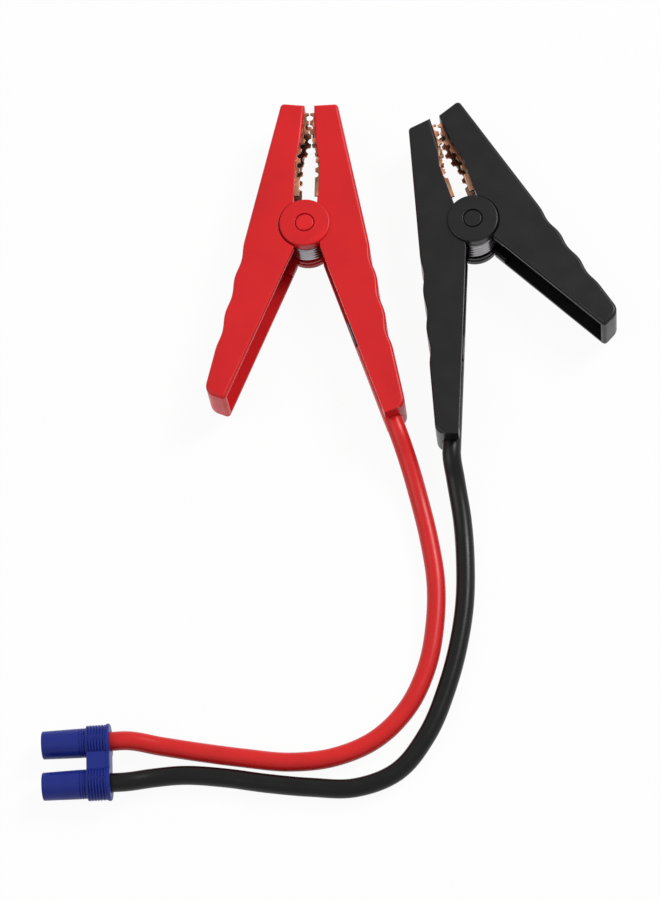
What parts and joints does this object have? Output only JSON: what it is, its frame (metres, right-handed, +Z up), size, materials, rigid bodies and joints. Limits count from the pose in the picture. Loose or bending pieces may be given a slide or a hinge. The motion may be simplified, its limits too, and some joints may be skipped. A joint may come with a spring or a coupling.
{
  "type": "jump starter clamp lead set",
  "caption": "Spring-loaded battery clamps on insulated cables that end in a moulded round-socket plug, for connecting a jump starter pack.",
  "frame": {"origin": "on the red clamp's pivot axis, at the face of its lower pin cap, which lies on the ground", "axes": "+Z up along the pivot axes, +Y from the red clamp's pivot to the tips of its jaws, +X from the red clamp to the black one"},
  "size_m": [0.1554, 0.2045, 0.0162],
  "materials": {
    "red_plastic": "moulded red plastic, semi-gloss with a fine grain",
    "black_plastic": "moulded black plastic, semi-gloss with a fine grain",
    "blue_plastic": "moulded blue plastic, satin",
    "red_insulation": "silicone insulation, satin",
    "black_insulation": "silicone insulation, satin",
    "copper": "copper sheet, lightly tarnished",
    "strands": "bare copper strands",
    "contact": "turned brass, plated",
    "steel": "steel, plated"
  },
  "bodies": {
    "root": {"red_cable_handle": "red_plastic", "red_cable_jaw": "copper", "red_pivot_pin": "steel", "red_pin_caps": "red_plastic", "red_torsion_spring": "steel", "red_cable": "red_insulation", "red_clamp_conductor": "strands", "red_plug_conductor": "strands", "red_contact_socket": "contact", "black_cable_handle": "black_plastic", "black_cable_jaw": "copper", "black_pivot_pin": "steel", "black_pin_caps": "black_plastic", "black_torsion_spring": "steel", "black_cable": "black_insulation", "black_clamp_conductor": "strands", "black_plug_conductor": "strands", "black_contact_socket": "contact", "plug_housing": "blue_plastic"},
    "red_lever": {"red_lever_handle": "red_plastic", "red_lever_jaw": "copper"},
    "black_lever": {"black_lever_handle": "black_plastic", "black_lever_jaw": "copper"}
  },
  "joints": [
    {"name": "red_clamp_pivot", "type": "hinge", "parent": "root", "child": "red_lever", "pos_m": [0, 0, 0.0081], "axis": [0, 0, 1], "range_deg": [0, 36], "stiffness_Nm_per_rad": 0.4, "springref_deg": -28.65, "deforming": ["red_torsion_spring"]},
    {"name": "black_clamp_pivot", "type": "hinge", "parent": "root", "child": "black_lever", "pos_m": [0.0475, 0.001, 0.0081], "axis": [0, 0, -1], "range_deg": [0, 36], "stiffness_Nm_per_rad": 0.4, "springref_deg": -28.65, "deforming": ["black_torsion_spring"]}
  ]
}
